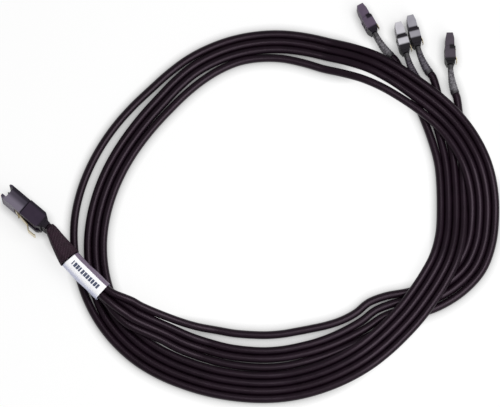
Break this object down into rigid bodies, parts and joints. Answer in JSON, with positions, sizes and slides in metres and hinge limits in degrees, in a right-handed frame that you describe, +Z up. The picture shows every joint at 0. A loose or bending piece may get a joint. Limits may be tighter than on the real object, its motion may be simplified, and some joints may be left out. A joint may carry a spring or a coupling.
{
  "type": "mini sas breakout cable",
  "caption": "Internal server breakout cable: a wide latched data plug whose strands run through a sleeve and label, lie in a loose coil and end in small latched drive plugs.",
  "frame": {"origin": "on the table, under the middle of the box round the plugs, sleeve and label", "axes": "+Z up from the table, +X from the wide plug towards the drive plugs, +Y away from the viewer"},
  "size_m": [0.2727, 0.2207, 0.022],
  "materials": {
    "cover_plastic": "moulded, fine matt texture",
    "nose_plastic": "moulded, satin",
    "insulator_plastic": "moulded, smooth",
    "circuit_board": "solder mask with gilt pads",
    "spring_steel": "stamped, pale gold plating",
    "sleeve": "dark braided sleeve",
    "label_film": "white laminated wrap, no print",
    "strand_jacket": "extruded black jacket, soft sheen",
    "relief_rubber": "overmoulded, satin grey"
  },
  "bodies": {
    "cable": {"sas_rear_cover": "cover_plastic", "sas_nose": "nose_plastic", "sas_paddle_card": "circuit_board", "sas_strand_comb": "insulator_plastic", "strand_sleeve": "sleeve", "wrap_label": "label_film", "strand_1": "strand_jacket", "strand_2": "strand_jacket", "strand_3": "strand_jacket", "strand_4": "strand_jacket", "drive_1_housing": "nose_plastic", "drive_1_wafer": "insulator_plastic", "drive_1_relief": "relief_rubber", "drive_2_housing": "nose_plastic", "drive_2_wafer": "insulator_plastic", "drive_2_relief": "relief_rubber", "drive_3_housing": "nose_plastic", "drive_3_wafer": "insulator_plastic", "drive_3_relief": "relief_rubber", "drive_4_housing": "nose_plastic", "drive_4_wafer": "insulator_plastic", "drive_4_relief": "relief_rubber"},
    "wide_latch": {"sas_latch": "spring_steel"},
    "latch_1": {"drive_1_latch": "spring_steel"},
    "latch_2": {"drive_2_latch": "spring_steel"},
    "latch_3": {"drive_3_latch": "spring_steel"},
    "latch_4": {"drive_4_latch": "spring_steel"}
  },
  "joints": [
    {"name": "wide_latch_press", "type": "hinge", "parent": "cable", "child": "wide_latch", "pos_m": [-0.11939, -0.03156, 0.011], "axis": [0, 0, 1], "range_deg": [0, 6], "stiffness_Nm_per_rad": 0.02},
    {"name": "latch_1_press", "type": "hinge", "parent": "cable", "child": "latch_1", "pos_m": [0.12216, 0.06066, 0.0072], "axis": [0, 0, -1], "range_deg": [0, 4], "stiffness_Nm_per_rad": 0.01},
    {"name": "latch_2_press", "type": "hinge", "parent": "cable", "child": "latch_2", "pos_m": [0.10148, 0.07096, 0.0072], "axis": [0, 0, -1], "range_deg": [0, 4], "stiffness_Nm_per_rad": 0.01},
    {"name": "latch_3_press", "type": "hinge", "parent": "cable", "child": "latch_3", "pos_m": [0.0949, 0.06713, 0.0072], "axis": [0, 0, -1], "range_deg": [0, 4], "stiffness_Nm_per_rad": 0.01},
    {"name": "latch_4_press", "type": "hinge", "parent": "cable", "child": "latch_4", "pos_m": [0.07484, 0.07796, 0.0072], "axis": [0, 0, -1], "range_deg": [0, 4], "stiffness_Nm_per_rad": 0.01}
  ]
}
